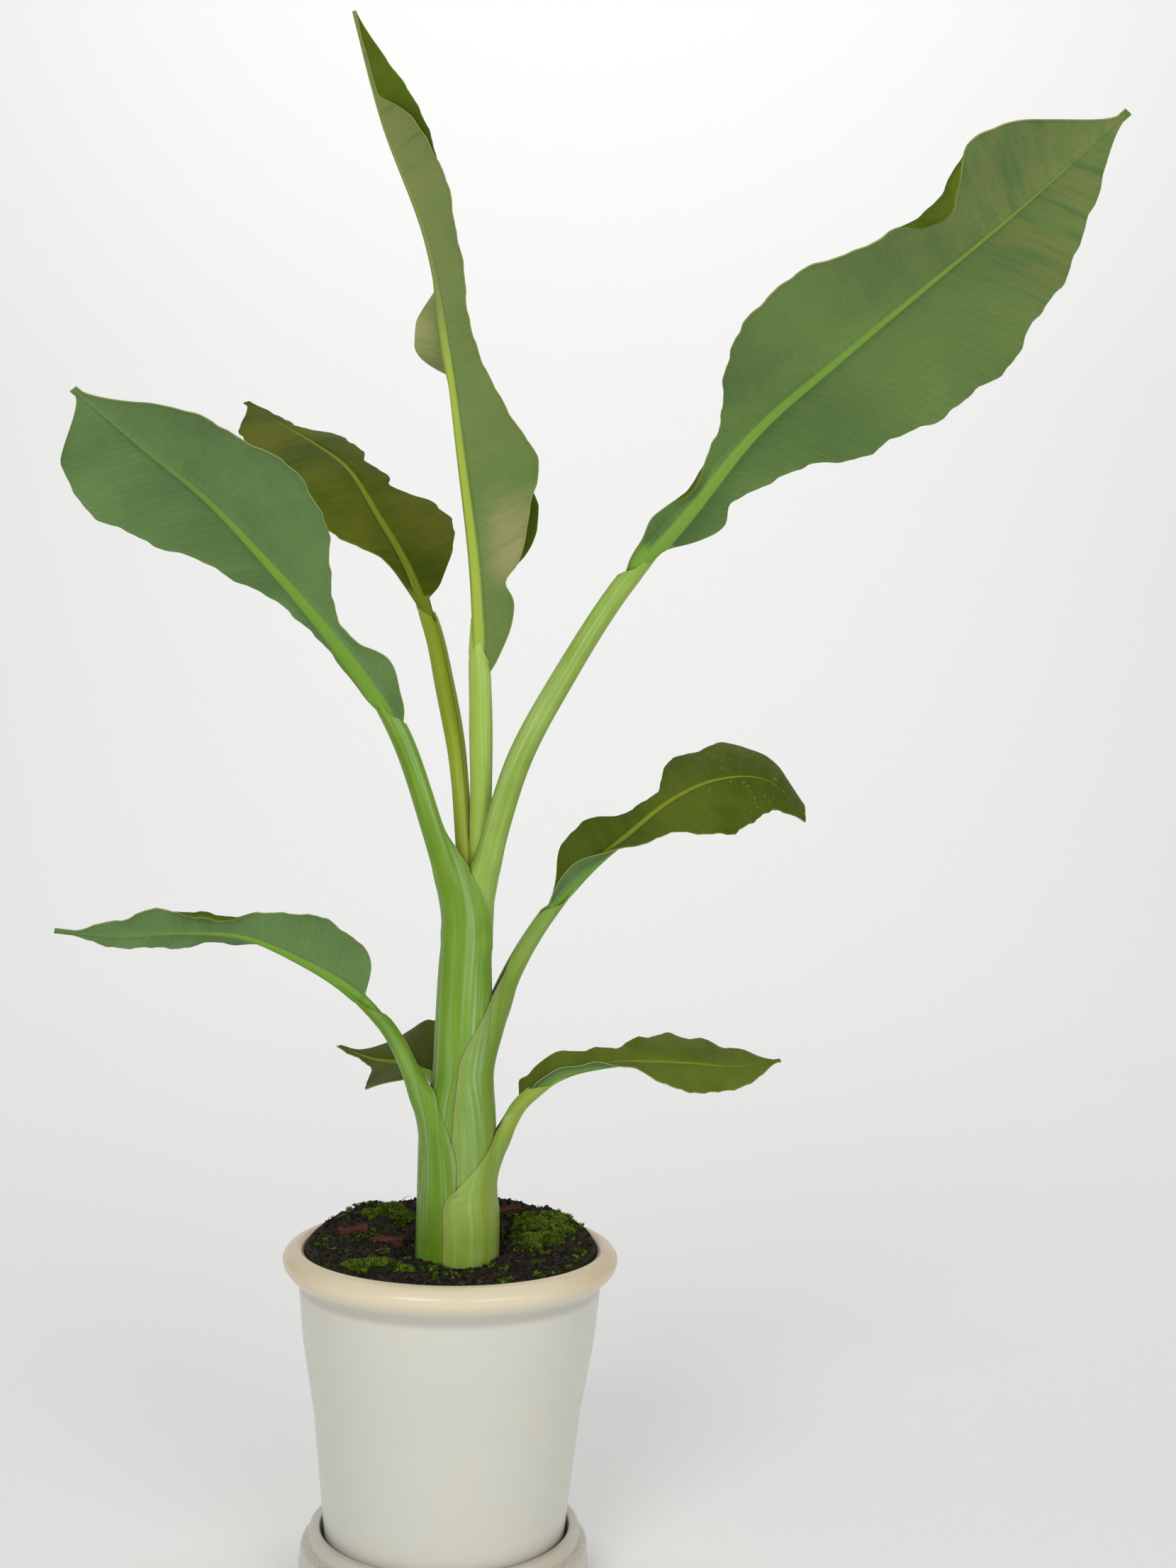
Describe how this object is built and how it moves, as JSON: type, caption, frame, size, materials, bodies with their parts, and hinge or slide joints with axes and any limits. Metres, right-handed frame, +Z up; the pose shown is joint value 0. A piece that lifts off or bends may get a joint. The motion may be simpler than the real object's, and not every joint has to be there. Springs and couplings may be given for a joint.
{
  "type": "potted dwarf banana plant",
  "caption": "Young dwarf banana plant with a sheathed stem and broad arching leaves, in a cream glazed pot with a rolled rim on a stepped saucer.",
  "frame": {"origin": "middle of the saucer's flat underside", "axes": "+Z up along the stem, +X to the right and +Y away from the viewer as the plant is seen from its front"},
  "size_m": [0.5912, 0.5417, 0.9746],
  "materials": {
    "saucer_glaze": "satin",
    "pot_glaze": "satin",
    "soil": "matte",
    "moss": "matte",
    "bark": "matte",
    "stem": "satin",
    "stalk": "satin",
    "blade": "satin"
  },
  "bodies": {
    "root": {"saucer": "saucer_glaze", "pot": "pot_glaze", "soil": "soil", "moss_right": "moss", "moss_left": "moss", "moss_front": "moss", "bark_left": "bark", "bark_inner": "bark", "bark_back": "bark", "stem": "stem", "back_low_stalk": "stalk", "back_low_blade": "blade", "low_left_stalk": "stalk", "low_left_blade": "blade", "low_right_stalk": "stalk", "low_right_blade": "blade", "mid_right_stalk": "stalk", "mid_right_blade": "blade", "upper_left_stalk": "stalk", "upper_left_blade": "blade", "back_left_stalk": "stalk", "back_left_blade": "blade", "top_stalk": "stalk", "top_blade": "blade", "upper_right_stalk": "stalk", "upper_right_blade": "blade"}
  },
  "joints": []
}
